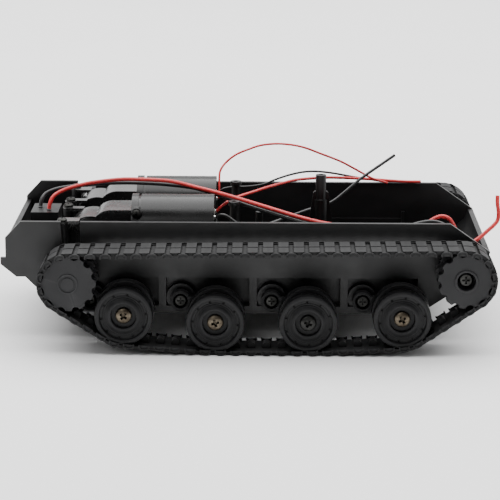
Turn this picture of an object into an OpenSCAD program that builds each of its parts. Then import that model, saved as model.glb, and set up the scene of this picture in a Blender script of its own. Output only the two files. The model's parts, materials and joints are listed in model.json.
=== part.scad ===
// Tracked tank chassis of a small robotics kit: an open hull tub with two geared motors at the rear,
// toothed drive sprockets behind, idlers in front, four sprung double-disc road wheels on each side,
// rubber tracks and loose leads. +X is forward, +Y is left and z = 0 is the ground under the tracks.
// Every side part is drawn for the right side (y < 0) and mirrored for the left.

/* [Hull] */
// Outer width of the hull over its side walls
hull_w = 74; // [73:0.5:75]
// Height of the side walls above the ground
wall_top = 46.4; // [46:0.2:47]
// Height of the hull's underside above the ground
hull_bottom = 10.5; // [10:0.25:11]
// Thickness of the moulded walls
wall = 2; // [1.6:0.1:2.2]
// Height of the tall post in the middle of the hull
post_top = 57.5; // [54:0.5:60]

/* [Running gear] */
// Width over the outer faces of the two tracks
track_span = 120; // [119.5:0.5:121]
// Width of one track
track_w = 18; // [17.5:0.25:18.5]
// Radius of a road wheel
wheel_r = 11.05; // [10.8:0.05:11.05]
// Radius over the tooth tips of a sprocket or an idler
tooth_r = 10.6; // [10.3:0.1:10.6]
// Distance from an arm's pivot to its wheel's centre
arm_len = 14.4; // [14:0.1:14.8]
// Height of the arm pivots above the ground
pivot_z = 16.2; // [15.8:0.1:16.6]

/* [Drive] */
// Radius of a motor sleeve
sleeve_r = 12.2; // [11.8:0.1:12.3]
// Distance of a motor's axis from the middle of the hull
motor_y = 16.5; // [16.4:0.1:16.6]
// Tooth module of the gears
gear_m = 0.5; // [0.48:0.01:0.5]

/* [Hidden] */
$fn = 48;
SIDES = ["right", "left"];
NUMBERS = [1, 2, 3, 4];

// Clearances: a shaft in its bore, a face beside a turning face, a wheel beside the belt.
fit = 0.05;
gap = 0.15;

// Track belt: it carries links of 12 to a sprocket's turn.
belt_t = 0.6;
pad_h = 0.6;
lug_h = 2.4;
sprocket_teeth = 12;
belt_r = tooth_r + gap + belt_t / 2;
half_len = 95;
sprocket_at = [-67, 27.6];
idler_at = [half_len - belt_r - belt_t / 2 - pad_h, 29.6];
pivot_first = -60.5;
pivot_pitch = 35.2;
pivot_x = [for (i = [0:3]) pivot_first + i * pivot_pitch];
ride_z = belt_t + pad_h + gap + wheel_r;
wheel_z = [ride_z + 2.5, ride_z, ride_z, ride_z + 1.8];
wheel_at = [for (i = [0:3]) let (drop = pivot_z - wheel_z[i])
    [pivot_x[i] + sqrt(arm_len * arm_len - drop * drop), wheel_z[i]]];

// The belt runs round six circles, anticlockwise as seen from the right side.
loop_c = concat([sprocket_at], wheel_at, [idler_at]);
loop_r = concat([belt_r], [for (i = [0:3]) wheel_r + gap + belt_t / 2], [belt_r]);
loop_n = len(loop_c);
function next(i) = (i + 1) % loop_n;
function prev(i) = (i + loop_n - 1) % loop_n;
function heading(v) = atan2(v[1], v[0]);
// Outward normal of the tangent from circle i to the next one.
function normal(i) = let (d = loop_c[next(i)] - loop_c[i])
    heading(d) - acos((loop_r[i] - loop_r[next(i)]) / norm(d));
function turn(i) = (normal(i) - normal(prev(i)) + 720) % 360;
function arc_len(i) = loop_r[i] * turn(i) * PI / 180;
function line_len(i) = let (d = norm(loop_c[next(i)] - loop_c[i]), e = loop_r[i] - loop_r[next(i)])
    sqrt(d * d - e * e);
function total(i) = i < 0 ? 0 : total(i - 1) + arc_len(i) + line_len(i);
loop_len = total(loop_n - 1);
link_n = round(loop_len * sprocket_teeth / (2 * PI * belt_r));
link_p = loop_len / link_n;
function polar(r, a) = r * [cos(a), sin(a)];
// Point of the belt line at a distance s round the loop, and its outward normal's angle.
function belt_at(s, i = 0) = let (a = arc_len(i), l = line_len(i))
    s > a + l && i < loop_n - 1 ? belt_at(s - a - l, i + 1)
    : s < a ? let (t = normal(prev(i)) + s / loop_r[i] * 180 / PI) [loop_c[i] + polar(loop_r[i], t), t]
    : [loop_c[i] + polar(loop_r[i], normal(i)) + polar(s - a, normal(i) + 90), normal(i)];
function off_belt(s, off) = let (b = belt_at((s + 2 * loop_len) % loop_len)) b[0] + polar(off, b[1]);
// The smooth loop at an offset from the belt line: arcs in short steps, joined by straight runs.
function smooth_loop(off) = [for (i = [0:loop_n - 1]) let (n = ceil(turn(i) / 7.5))
    for (k = [0:n]) loop_c[i] + polar(loop_r[i] + off, normal(prev(i)) + turn(i) * k / n)];
// A loop with one tooth on each link, from low to high, centred at a fraction of the link.
function toothed_loop(low, high, length, centre) = [for (k = [0:link_n - 1])
    let (s = (k + centre) * link_p, h = length / 2)
    each [off_belt(s - h, low), off_belt(s - h, high), off_belt(s + h, high), off_belt(s + h, low)]];

// Motors and gears; positions in a side view are [x, z].
motor_z = 40.6;
shaft_r = 1;
can_r = 10.05;
can_x = [-42.5, -17.5];
cap_x = -13.5;
sleeve_x = [-45, -12.8];
clamp_at = [-42.8, 47.6];
clamp_y = [22.5, 27.7];
tab_y = 5;
tab_z = 5;
pinion_t = 8;
crown_t = 24;
crown_pinion_t = 10;
reduction_t = 26;
reduction_pinion_t = 14;
output_t = 29;
pinion_r = pinion_t * gear_m / 2;
crown_r = crown_t * gear_m / 2;
mesh_x = -47;
crown_at = [mesh_x - crown_r, motor_z];
first_d = (crown_pinion_t + reduction_t) * gear_m / 2;
second_d = (reduction_pinion_t + output_t) * gear_m / 2;
// The reduction gear sits where both centre distances meet, above the line of the other two axes.
train = sprocket_at - crown_at;
along = (first_d * first_d - second_d * second_d + train * train) / (2 * norm(train));
aside = sqrt(first_d * first_d - along * along);
reduction_at = crown_at + (along * train + aside * [train[1], -train[0]]) / norm(train);
to_reduction = heading(reduction_at - crown_at);
to_output = heading(sprocket_at - reduction_at);
pin_r = 0.8;
axle_r = 1.5;
case_out = motor_y + 8.5;
case_in = motor_y - 8.5;
case_wall = 1;
case_screws = [[-48.2, 30.5], [-56.5, 25]];
case_front = -45;

// Hull outline and side pockets.
side_y = hull_w / 2;
floor_z = hull_bottom + wall;
rear_rim_z = 38.5;
glacis_low = [94, 35.5];
hull_outline = [
    [-87, wall_top], [-71.5, wall_top], [-71, 33], [-64, 33], [-64, wall_top], [78.5, wall_top],
    glacis_low, [92.5, 30.5], [77.5, 17.5], [67, hull_bottom], [-68, hull_bottom], [-82, 21],
    [-85.5, 24.5], [-89, 24.5], [-half_len, 29.5], [-half_len, 32], [-93, 32], [-93, 40]];
trough_outline = [
    [-93, rear_rim_z], [-93, 32], [-89, 24.5], [-85.5, 24.5], [-82, 21],
    [-68, hull_bottom], [67, hull_bottom], [77.5, 17.5], [92.5, 30.5], glacis_low,
    [glacis_low[0] - wall, glacis_low[1]], [90.5, 31.5], [76.5, 19.5], [66.5, floor_z],
    [-67, floor_z], [-81, 23], [-84.5, 26.5], [-88, 26.5], [-91, 32.5], [-91, rear_rim_z]];
pocket_z = [13.2, 24.6];
pocket_len = 32.3;
pocket_lead = 5.7;
pocket_deep = 5;
pocket_end_x = 66.4;
pocket_skin = 1.5;
pocket_y = side_y - pocket_deep;
cup_r = 5.6;
cup_end = 35.7;
cup_skin = 1;
spring_r = 4.4;
ring_posts = [[-5, -18], [-5, 18]];
ring_post_z = 50.6;
post_at = [29.4, 0];
stub_post_at = [4.8, 0];
stub_post_z = 42.2;
mount_posts = [[-71.5, -30], [-71.5, -5], [-71.5, 5], [-71.5, 30]];
mount_post_z = 43.9;
lug_t = 1.2;
// Covered box across the rear floor, through which the two supply leads come up.
wire_box_y = [-3, 13];
wire_box_outline = [[-87, 42], [-87, 25.5], [-85, 25.5], [-81.3, 22.3], [-76, 18.2], [-76, 42]];
wire_box_hollow = [[-85, 40], [-85, 27.5], [-81.3, 24.5], [-78, 22], [-78, 40]];

// Stations along a side part's axis, measured outwards from the middle of the hull.
belt_y = [track_span / 2 - track_w, track_span / 2];
belt_mid = (belt_y[0] + belt_y[1]) / 2;
wheel_w = 15.6;
disc_gap = 5.2;
wheel_y = [belt_mid - wheel_w / 2, belt_mid + wheel_w / 2];
lug_w = 4.2;
hub_r = 7.2;
arm_y = [33.7, side_y + 0.2, 38.2, 41];
collar_r = 2.3;
stub_end = 39.2;
boss_end = 43.85;
wheel_hub = [44, 56.4];
axle_end = 56.25;

// Routes of the leads. Each starts at its solder tab or above its hole in the rear box, and ends bare.
// From the right motor's inner tab, up between the ring posts and across to the left wall's top.
right_red_route = [
    [-12, -11.5, 45], [-10, -11, 47], [-7, -8.5, 48.5], [-3, -4.5, 49.5], [2, 0.5, 50],
    [7, 6, 50.5], [13, 14, 50.5], [19, 21, 50.5], [25, 26.5, 50], [32, 31, 49.5], [39, 33, 49],
    [46, 34, 48.5], [53, 34.5, 48], [60, 34.5, 47.5], [66, 34.5, 47.2], [72, 34.5, 47.2]];
// From its outer tab, down round the ring post, past the centre post and up to a free end.
right_black_route = [
    [-12, -21.5, 45], [-10, -22, 46], [-7.5, -22.5, 45.5], [-4, -23, 43], [0, -21.5, 41.5],
    [5, -17.5, 40.5], [10, -12, 40.5], [15, -6, 41], [20, -0.5, 41.5], [25, 5, 42], [30, 8, 42.5],
    [35, 10, 44.5], [40, 12.5, 48], [46, 15.5, 52.5], [53, 18, 57], [60, 20, 61.5]];
// From the left motor's inner tab, in a high arch that comes down inside the left wall.
left_red_route = [
    [-12, 11.5, 45], [-11.7, 12, 48], [-11.7, 14, 52], [-11.3, 16, 55.5], [-9, 18, 58.5],
    [-5, 19, 61.5], [0, 20, 63.5], [5, 21, 65], [11, 22, 65.5], [17, 23, 65], [23, 24.5, 63.5],
    [30, 26.5, 60.5], [38, 28.5, 57], [45, 30, 53], [51, 31, 49.5], [55, 32, 48], [58, 32.5, 47]];
// From its outer tab, over the left wall's edge to lie along the wall's top.
left_black_route = [
    [-12, 21.5, 45], [-10, 22, 46.5], [-6, 23, 47], [0, 24, 47], [6, 26, 47.5], [11, 28.5, 49],
    [17, 31, 50.5], [23, 32.5, 51.5], [29, 33.5, 51.5], [36, 34.5, 50.5], [43, 35.5, 49],
    [49, 36, 48], [56, 36, 47], [63, 36, 47], [70, 36, 47]];
// Over the gear cases and past the right sleeve, along the right wall, down the front slope, over
// the front plate and up to a free end.
rear_red_route = [
    [-80, 1, 42.5], [-79.5, 1.5, 45], [-78, 3, 47.5], [-74, 5, 49.5], [-67, 6, 51.5], [-60, 5, 53],
    [-50, 3, 54.5], [-40, 0, 55], [-30, -3, 55], [-20, -7, 53.5], [-10, -11.5, 52], [0, -15.5, 50],
    [10, -20, 48], [20, -24.5, 46], [30, -28.5, 44.5], [40, -29.5, 43.5], [50, -29, 43],
    [60, -28.5, 42.5], [66, -29, 43], [69.5, -29, 44.5], [72.5, -29, 46.5], [75.5, -28.5, 47.5],
    [78.5, -28, 46.5], [80.5, -27.5, 43.5], [82.5, -27, 40], [85, -26.5, 37.5], [88, -25.5, 36.5],
    [91, -24.5, 38], [94, -23.5, 40.5], [96.5, -22.5, 42.5], [98.2, -21.5, 44.5], [98.5, -21, 47.5],
    [98, -20.5, 51], [98, -20, 54]];
// Beside and below the red one as far as the front of the right wall.
rear_black_route = [
    [-84, 6, 42.5], [-83.5, 7, 45], [-82, 9, 47], [-78, 10.5, 48.5], [-73, 10.5, 49.5],
    [-67, 9.5, 50.5], [-60, 8, 51.5], [-50, 5.5, 52.5], [-40, 2.5, 53], [-30, -0.5, 53],
    [-20, -4.5, 52.5], [-10, -9.5, 50.5], [0, -14.5, 48], [10, -19.5, 46], [20, -24, 44],
    [30, -28.5, 42.5], [40, -31.5, 41.5], [50, -32, 41.5], [60, -32, 43.5], [67, -31.5, 45.5],
    [72, -31, 46], [76, -31, 45], [80, -30.5, 42.5]];
rear_lead_d = 1.6;
motor_lead_d = 1.2;
thin_lead_d = 0.9;

// ---------------------------------------------------------------- helpers

// Draws its children as they are on the right side and mirrored on the left.
module on_side(s) {
    if (s == "right") children();
    else mirror([0, 1, 0]) children();
}

// Lays a shape's z axis along the outward direction at [x, z] of the right side.
module across(c, out = 0) {
    translate([c[0], -out, c[1]]) rotate([90, 0, 0]) children();
}

// An outline in [x, z] with thickness from one station to another, outwards on the right side.
module slab(from, to) {
    translate([0, -from, 0]) rotate([90, 0, 0]) linear_extrude(to - from) children();
}

module rod(c, r, from, to) {
    across(c, from) cylinder(r = r, h = to - from);
}

// A cylinder along X.
module rod_x(y, z, r, from, to) {
    translate([from, y, z]) rotate([0, 90, 0]) cylinder(r = r, h = to - from);
}

module post(c, r, from, to) {
    translate([c[0], c[1], from]) cylinder(r = r, h = to - from);
}

// Cross recess of a screw head, cut downwards from z = 0.
module cross_recess(size, deep) {
    for (a = [0, 90]) rotate(a) translate([-size / 2, -size / 8, -deep]) cube([size, size / 4, 2 * deep]);
}

// A pan-head screw: its head stands on z = 0 and its shank reaches below.
module screw(head_r, head_h, shank_r, shank_l) {
    difference() {
        rotate_extrude() polygon([[0, 0], [head_r, 0], [head_r, head_h * 0.5],
            [head_r * 0.75, head_h * 0.88], [0, head_h]]);
        translate([0, 0, head_h]) cross_recess(head_r, head_h * 0.6);
    }
    translate([0, 0, -shank_l]) cylinder(r = shank_r, h = shank_l);
}

// Involute tooth outline, with a tooth centred at angle 0 and thinned for backlash.
pressure = 20;
backlash = 0.12;
function inv(a) = tan(a) * 180 / PI - a;
function half_tooth(t, r) = let (rp = t * gear_m / 2, rb = rp * cos(pressure))
    90 / t - backlash / 2 / rp * 180 / PI + inv(pressure) - (r > rb ? inv(acos(rb / r)) : 0);
function gear_points(t) = let (rp = t * gear_m / 2, ra = rp + 0.66 * gear_m, rf = rp - gear_m,
        rb = max(rp * cos(pressure), rf + 0.02), steps = [rf, rb, (rb + ra) / 2, ra])
    [for (k = [0:t - 1]) each concat(
        [for (r = steps) polar(r, k * 360 / t - half_tooth(t, r))],
        [for (j = [3:-1:0]) polar(steps[j], k * 360 / t + half_tooth(t, steps[j]))])];
module spur(t, phase, from, to) {
    translate([0, 0, from]) rotate(phase) linear_extrude(to - from) polygon(gear_points(t));
}

// A tube with eight sides swept along a smooth curve through the points of a route.
function curve_point(a, b, c, d, t) = 0.5 * (2 * b + (c - a) * t + (2 * a - 5 * b + 4 * c - d) * t * t
    + (3 * b - a - 3 * c + d) * t * t * t);
function smooth_route(r) = let (n = len(r) - 1) concat([for (i = [0:n - 1]) for (t = [0, 0.5])
    curve_point(r[max(i - 1, 0)], r[i], r[i + 1], r[min(i + 2, n)], t)], [r[n]]);
function unit(v) = v / norm(v);
module lead(route, d) {
    sides = 8;
    path = smooth_route(route);
    n = len(path) - 1;
    rings = [for (i = [0:n]) let (t = unit(path[min(i + 1, n)] - path[max(i - 1, 0)]),
            u = unit(cross(t, [0.1, 1, 0.1])), v = cross(t, u))
        for (k = [0:sides - 1]) path[i] + d / 2 * (cos(k * 360 / sides) * u + sin(k * 360 / sides) * v)];
    skin = [for (i = [0:n - 1]) for (k = [0:sides - 1])
        let (a = i * sides + k, b = i * sides + (k + 1) % sides)
        each [[b, a, a + sides], [b + sides, b, a + sides]]];
    start = [for (k = [1:sides - 2]) [0, k, k + 1]];
    finish = [for (k = [1:sides - 2]) [n * sides, n * sides + k + 1, n * sides + k]];
    polyhedron(rings, concat(skin, start, finish));
}

// ---------------------------------------------------------------- hull

module side_pocket(i) {
    x0 = pivot_x[i] - pocket_lead;
    x1 = min(x0 + pocket_len, pocket_end_x);
    translate([x0, -side_y - 1, pocket_z[0]])
        cube([x1 - x0, pocket_deep + 1, pocket_z[1] - pocket_z[0]]);
}

module side_pocket_skin(i) {
    x0 = pivot_x[i] - pocket_lead - pocket_skin;
    x1 = min(x0 + pocket_len + 2 * pocket_skin, pocket_end_x + pocket_skin);
    translate([x0, -side_y + wall / 2, floor_z - wall / 2])
        cube([x1 - x0, pocket_deep + pocket_skin - wall / 2, pocket_z[1] + pocket_skin + wall / 2 - floor_z]);
}

// One side of the hull: wall, four pockets with a solid spring cup in each, and the bosses for the
// drive axle and the idler.
module hull_side() {
    difference() {
        union() {
            slab(side_y - wall, side_y) polygon(hull_outline);
            for (i = [0:3]) side_pocket_skin(i);
            rod(sprocket_at, 3.6, side_y - wall - 1.5, 42);
            rod(idler_at, 4.4, side_y - wall, 42);
            translate([33, -side_y + wall - 0.1, 30]) cube([32, 1.3, 1.4]);
            translate([64.1, -side_y + wall - 0.1, 29]) cube([1.4, 2, 5.5]);
        }
        for (i = [0:3]) side_pocket(i);
        rod(sprocket_at, axle_r + fit, side_y - wall - 2, 43);
    }
    for (x = pivot_x) rod([x, pivot_z], cup_r, pocket_y - 0.1, cup_end);
    difference() {
        rod(idler_at, 2, 41, 55.4);
        rod(idler_at, 0.8, 46, 57);
    }
}

// Hollow of a spring cup, with the hole in its lid that an arm's collar turns in.
module cup_hollow(x) {
    rod([x, pivot_z], cup_r - cup_skin, pocket_y, cup_end - 0.7);
    rod([x, pivot_z], collar_r + 0.1, pocket_y + 1, cup_end + 0.1);
}

// Stub that an arm turns on: a thick foot inside the spring and a pilot hole for the pivot screw.
module pivot_stub(x) {
    difference() {
        union() {
            rod([x, pivot_z], 2.8, pocket_y - 0.1, arm_y[0] - gap);
            rod([x, pivot_z], axle_r, pocket_y - 0.1, stub_end);
        }
        rod([x, pivot_z], 0.8, stub_end - 5, stub_end + 1);
    }
}

// Ribbed post: a round core with a tapering web along X and a narrower one along Y.
module centre_post() {
    rib_z = 50.8;
    translate([post_at[0], post_at[1], 0]) difference() {
        union() {
            translate([0, 0, floor_z - 0.5]) cylinder(r = 2.1, h = post_top - floor_z + 0.5);
            translate([0, 0, floor_z - 0.5]) cylinder(r = 2.7, h = 48 - floor_z);
            rotate([90, 0, 0]) translate([0, 0, -0.7]) linear_extrude(1.4)
                polygon([[-8.6, floor_z - 0.5], [-3, rib_z - 0.6], [-2.5, rib_z], [2.5, rib_z],
                    [3, rib_z - 0.6], [8.6, floor_z - 0.5]]);
            rotate([90, 0, 90]) translate([0, 0, -0.7]) linear_extrude(1.4)
                polygon([[-5, floor_z - 0.5], [-2.4, rib_z - 3], [2.4, rib_z - 3], [5, floor_z - 0.5]]);
        }
        translate([0, 0, post_top - 10]) cylinder(r = 0.9, h = 11);
    }
}

module motor_cradle(x) {
    difference() {
        translate([x, -31, floor_z - 0.5]) cube([2, 62, 19]);
        for (y = [-motor_y, motor_y]) rod_x(y, motor_z, sleeve_r + 0.1, x - 1, x + 3);
    }
}

module hull_tub() {
    color("#26272b") {
        difference() {
            union() {
                slab(-side_y + wall / 2, side_y - wall / 2) polygon(trough_outline);
                for (s = SIDES) on_side(s) hull_side();
            }
            for (s = SIDES) on_side(s) for (x = pivot_x) cup_hollow(x);
        }
        for (s = SIDES) on_side(s) for (x = pivot_x) pivot_stub(x);
        centre_post();
        for (p = ring_posts) difference() {
            union() {
                post(p, 1.7, floor_z - 0.5, ring_post_z);
                post(p, 2.3, ring_post_z - 1.6, ring_post_z);
            }
            post(p, 0.9, ring_post_z - 8, ring_post_z + 1);
        }
        post(stub_post_at, 1.5, floor_z - 0.5, stub_post_z);
        for (p = mount_posts) difference() {
            post(p, 2.2, 16, mount_post_z);
            post(p, 0.8, mount_post_z - 6, mount_post_z + 1);
        }
        for (x = [-37, -21]) motor_cradle(x);
        for (y = [-motor_y, motor_y]) translate([-64, y - 6, floor_z - 0.5]) cube([14, 12, 5.9]);
        difference() {
            slab(-wire_box_y[1], -wire_box_y[0]) polygon(wire_box_outline);
            slab(-wire_box_y[1] + wall, -wire_box_y[0] - wall) polygon(wire_box_hollow);
            post([rear_red_route[0][0], rear_red_route[0][1]], 1, 35, 45);
            post([rear_black_route[0][0], rear_black_route[0][1]], 1, 35, 45);
        }
    }
}

// ---------------------------------------------------------------- gearbox and motor

// Side view of the gear case: a hump over each gear and a block behind the motor. `inset` moves
// the edge inwards.
module case_outline(inset = 0) {
    translate(crown_at) circle(r = 7.75 - inset);
    translate(reduction_at) circle(r = 9.3 - inset);
    translate(sprocket_at) circle(r = 8.9 - inset);
    translate([crown_at[0], 27 + inset]) square([case_front - inset - crown_at[0], 21.35 - 2 * inset]);
    translate([-67, 18.7 + inset]) square([case_front - inset + 67, 15 - 2 * inset]);
}

// One half of a gear case between two stations; its wall lies at `lid`.
module case_half(from, to, lid) {
    difference() {
        union() {
            difference() {
                slab(from, to) case_outline();
                slab(from + (lid == from ? case_wall : -1), to + (lid == to ? -case_wall : 1))
                    case_outline(case_wall);
            }
            for (c = case_screws) rod(c, 1.9, from, to);
            rod(crown_at, 1.8, lid == from ? lid : 22, lid == from ? 9.1 : lid);
            rod(reduction_at, 1.8, lid == from ? lid : 20, lid == from ? 9.4 : lid);
            rod(sprocket_at, 3, lid == from ? lid : 20, lid == from ? 10.6 : lid);
        }
        for (c = case_screws) rod(c, 0.9, 10, case_out + 1);
        rod(crown_at, pin_r + 0.01, 8.4, 24.6);
        rod(reduction_at, pin_r + 0.01, 8.4, 24.6);
        rod(sprocket_at, axle_r + fit, 8.5, case_out + 1);
        rod_x(-motor_y, motor_z, 3.2, case_front - 2, case_front + 1);
    }
}

// A flat ear that reaches from the case to the top of a mounting post.
module mount_ear(p, x_to, y_to) {
    difference() {
        union() {
            post(p, 2.2, mount_post_z, mount_post_z + lug_t);
            translate([p[0], min(p[1], y_to), mount_post_z]) cube([x_to - p[0], abs(y_to - p[1]), lug_t]);
        }
        post(p, 0.9, mount_post_z - 1, mount_post_z + lug_t + 1);
    }
}

module gearbox_outer_half(s) {
    color("#2b2c30") on_side(s) {
        case_half(motor_y, case_out, case_out);
        mount_ear(mount_posts[0], -65, -24.2);
    }
}

module gearbox_inner_half(s) {
    color("#2b2c30") on_side(s) {
        case_half(case_in, motor_y, case_in);
        mount_ear(mount_posts[1], -65, -8.8);
    }
}

module gearbox_screws() {
    color("#8d8f94") for (s = SIDES) on_side(s) {
        for (c = case_screws) across(c, case_out) screw(2, 1.2, 0.85, 13);
        for (p = [mount_posts[0], mount_posts[1]]) translate([p[0], p[1], mount_post_z + lug_t])
            screw(1.9, 1.3, 0.75, 6);
        across(clamp_at, clamp_y[1]) screw(1.7, 1, 0.7, 2);
    }
}

module gear_pins() {
    color("#b9bcc2") for (s = SIDES) on_side(s) for (c = [crown_at, reduction_at])
        rod(c, pin_r, 8.5, 24.5);
}

// Round sleeve round the motor, with a clamping collar behind it that is drawn shut by a screw.
module motor_sleeve(s) {
    color("#141518") on_side(s) difference() {
        union() {
            rod_x(-motor_y, motor_z, sleeve_r, sleeve_x[0] + 3.6, sleeve_x[1]);
            rod_x(-motor_y, motor_z, sleeve_r - 0.8, sleeve_x[0] + 2, sleeve_x[0] + 4);
            rod_x(-motor_y, motor_z, sleeve_r + 0.1, sleeve_x[0], sleeve_x[0] + 2.6);
            rod(clamp_at, 2.1, clamp_y[0], clamp_y[1]);
        }
        rod_x(-motor_y, motor_z, can_r + 0.15, sleeve_x[0] + 1.5, sleeve_x[1] + 1);
        rod_x(-motor_y, motor_z, 3.2, sleeve_x[0] - 1, sleeve_x[0] + 2);
        rod(clamp_at, 0.75, clamp_y[1] - 2.5, clamp_y[1] + 1);
    }
}

module can_section(r, flat) {
    intersection() {
        circle(r = r);
        square([2 * r + 1, 2 * flat], center = true);
    }
}

module along_motor(x) {
    translate([x, -motor_y, motor_z]) rotate([90, 0, 90]) children();
}

module motor_cans() {
    color("#b5b8bd") for (s = SIDES) on_side(s) difference() {
        union() {
            along_motor(can_x[0]) linear_extrude(can_x[1] - can_x[0]) can_section(can_r, 7.6);
            rod_x(-motor_y, motor_z, 3, case_front - 0.5, can_x[0] + 0.5);
        }
        along_motor(can_x[0] + 0.8) linear_extrude(can_x[1] - can_x[0]) can_section(can_r - 0.8, 6.8);
        rod_x(-motor_y, motor_z, shaft_r + fit, case_front - 2, can_x[0] + 2);
    }
}

module motor_end_caps() {
    for (s = SIDES) on_side(s) {
        color("#f0efe8") difference() {
            along_motor(can_x[1]) linear_extrude(cap_x - can_x[1]) can_section(can_r - 0.1, 7.5);
            rod_x(-motor_y, motor_z, shaft_r + fit, can_x[1] - 1, can_x[1] + 2.5);
        }
        color("#c9a227") for (y = [-tab_y, tab_y])
            translate([cap_x - 0.5, -motor_y + y - 0.9, motor_z + tab_z - 2.2]) cube([1, 1.8, 2.6]);
    }
}

module motor_rotor(s) {
    color("#c8cacf") on_side(s) {
        rod_x(-motor_y, motor_z, shaft_r, mesh_x - 1.2, can_x[1] + 1.8);
        rod_x(-motor_y, motor_z, 6, can_x[0] + 4, can_x[1] - 4.5);
        along_motor(mesh_x - 1.1) spur(pinion_t, 0, 0, 2);
    }
}

// Face gear that meets the motor pinion, with a small spur pinion on the same hub.
module crown_gear(s) {
    tip = motor_y - pinion_r + 0.22;
    root = motor_y - pinion_r - 0.4;
    tooth = 360 / crown_t;
    color("#e9e6da") on_side(s) difference() {
        union() {
            rod(crown_at, crown_r + 0.7, root - 1.5, root);
            across(crown_at, root - 0.1) for (k = [0:crown_t - 1]) rotate((k + 0.5) * tooth)
                translate([crown_r - 0.6, 0, 0]) rotate([90, 0, 90]) linear_extrude(1.2)
                polygon([[-0.36, 0], [-0.16, tip - root + 0.1], [0.16, tip - root + 0.1], [0.36, 0]]);
            across(crown_at) spur(crown_pinion_t, to_reduction, 9.3, root - 1.4);
        }
        rod(crown_at, pin_r + fit, 5, 20);
    }
}

module reduction_gear(s) {
    color("#e9e6da") on_side(s) difference() {
        across(reduction_at) {
            spur(reduction_t, to_reduction + 180 + 180 / reduction_t, 9.6, 12);
            translate([0, 0, 11.9]) cylinder(r = 1.9, h = 3.7);
            spur(reduction_pinion_t, to_output, 15.5, 19.7);
        }
        rod(reduction_at, pin_r + fit, 5, 24);
    }
}

module output_gear(s) {
    color("#e9e6da") on_side(s) difference() {
        across(sprocket_at) {
            spur(output_t, to_output + 180 + 180 / output_t, 15.9, 19.3);
            translate([0, 0, 15.2]) cylinder(r = 3, h = 4.7);
        }
        rod(sprocket_at, axle_r + 0.01, 5, 24);
    }
}

module drive_axle(s) {
    color("#c8cacf") on_side(s) rod(sprocket_at, axle_r, 8.7, axle_end - 0.4);
}

// ---------------------------------------------------------------- running gear

// Two toothed discs on a hub. Each of the twelve notches clears one end of a track link.
module toothed_discs(at, phase) {
    difference() {
        union() {
            for (y = [wheel_y[0] + 0.3, belt_mid + disc_gap / 2 + 0.2]) rod(at, tooth_r, y, y + 4.8);
            rod(at, hub_r, wheel_y[0] + 2, wheel_y[1] - 2);
        }
        across(at, wheel_y[0] - 1) for (k = [0:sprocket_teeth - 1])
            rotate(phase + k * 360 / sprocket_teeth) translate([tooth_r + 0.35, 0, 0])
            cylinder(r = 1.55, h = wheel_w + 2);
    }
}

link_end_s = 0.5 * link_p;
sprocket_phase = belt_at(link_end_s)[1];
idler_first = ceil((total(loop_n - 2) + 2) / link_p - 0.5);
idler_phase = belt_at((idler_first + 0.5) * link_p)[1];

module sprocket(s) {
    face = wheel_y[1] - 0.2;
    color("#303136") on_side(s) difference() {
        union() {
            toothed_discs(sprocket_at, sprocket_phase);
            rod(sprocket_at, 3.9, 42.2, face + 0.3);
        }
        rod(sprocket_at, 3.3, face, face + 1);
        rod(sprocket_at, axle_r + 0.01, 42, axle_end - 0.3);
    }
    color("#303136") on_side(s) rod(sprocket_at, 2.4, face - 0.1, face + 0.3);
}

module idler(s) {
    face = wheel_y[1] - 0.2;
    color("#303136") on_side(s) difference() {
        union() {
            toothed_discs(idler_at, idler_phase);
            rod(idler_at, 4.4, 42.2, face + 0.6);
        }
        rod(idler_at, 3.5, 55.3, face + 1);
        rod(idler_at, 2 + fit, 42, face + 1);
    }
}

module idler_screws() {
    color("#3a3b3f") for (s = SIDES) on_side(s) across(idler_at, 55.5) screw(2.9, 1.4, 0.75, 8);
}

// Endless rubber track: band, two rows of outer pads, link ends at both edges and a row of guide lugs.
module track(s) {
    color("#1f2023") on_side(s) {
        slab(belt_y[0], belt_y[1]) difference() {
            polygon(smooth_loop(belt_t / 2));
            polygon(smooth_loop(-belt_t / 2));
        }
        for (y = [belt_y[0] + 1.2, belt_mid + 0.5]) slab(y, y + 7.3) difference() {
            polygon(toothed_loop(belt_t / 2 - 0.1, belt_t / 2 + pad_h, 4.2, 0));
            polygon(smooth_loop(0));
        }
        for (y = [belt_y[0], belt_y[1] - 1.1]) slab(y, y + 1.1) difference() {
            polygon(toothed_loop(belt_t / 2 - 0.1, belt_t / 2 + pad_h * 0.8, 3.2, 0.5));
            polygon(smooth_loop(0));
        }
        slab(belt_mid - lug_w / 2, belt_mid + lug_w / 2) difference() {
            polygon(smooth_loop(0));
            polygon(toothed_loop(-belt_t / 2 - lug_h, -belt_t / 2 + 0.1, link_p - 3, 0));
        }
    }
}

// Trailing arm: a collar that reaches into the spring cup, a pivot boss, a flat link, and the stub
// axle of its road wheel. It is drawn along its own length.
module arm(s, i) {
    reach = wheel_at[i] - [pivot_x[i], pivot_z];
    color("#2b2c30") on_side(s) across([pivot_x[i], pivot_z]) rotate(heading(reach)) difference() {
        union() {
            rotate(180) translate([0, 0, arm_y[0]]) cylinder(r = collar_r, h = arm_y[2] - arm_y[0]);
            rotate(180) translate([0, 0, arm_y[1]]) cylinder(r = 4, h = arm_y[3] - arm_y[1]);
            translate([1, -2.6, arm_y[2]]) cube([arm_len - 2, 5.2, arm_y[3] - arm_y[2]]);
            translate([arm_len, 0, arm_y[2]]) cylinder(r = 3.2, h = boss_end - arm_y[2]);
            translate([arm_len, 0, boss_end - 1]) cylinder(r = axle_r, h = axle_end - boss_end + 1);
        }
        rotate(180) translate([0, 0, 30]) cylinder(r = axle_r + fit, h = 20);
        rotate(180) translate([0, 0, stub_end - gap]) cylinder(r = 2.9, h = 10);
        translate([arm_len, 0, axle_end - 8]) cylinder(r = 0.8, h = 9);
    }
}

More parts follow.
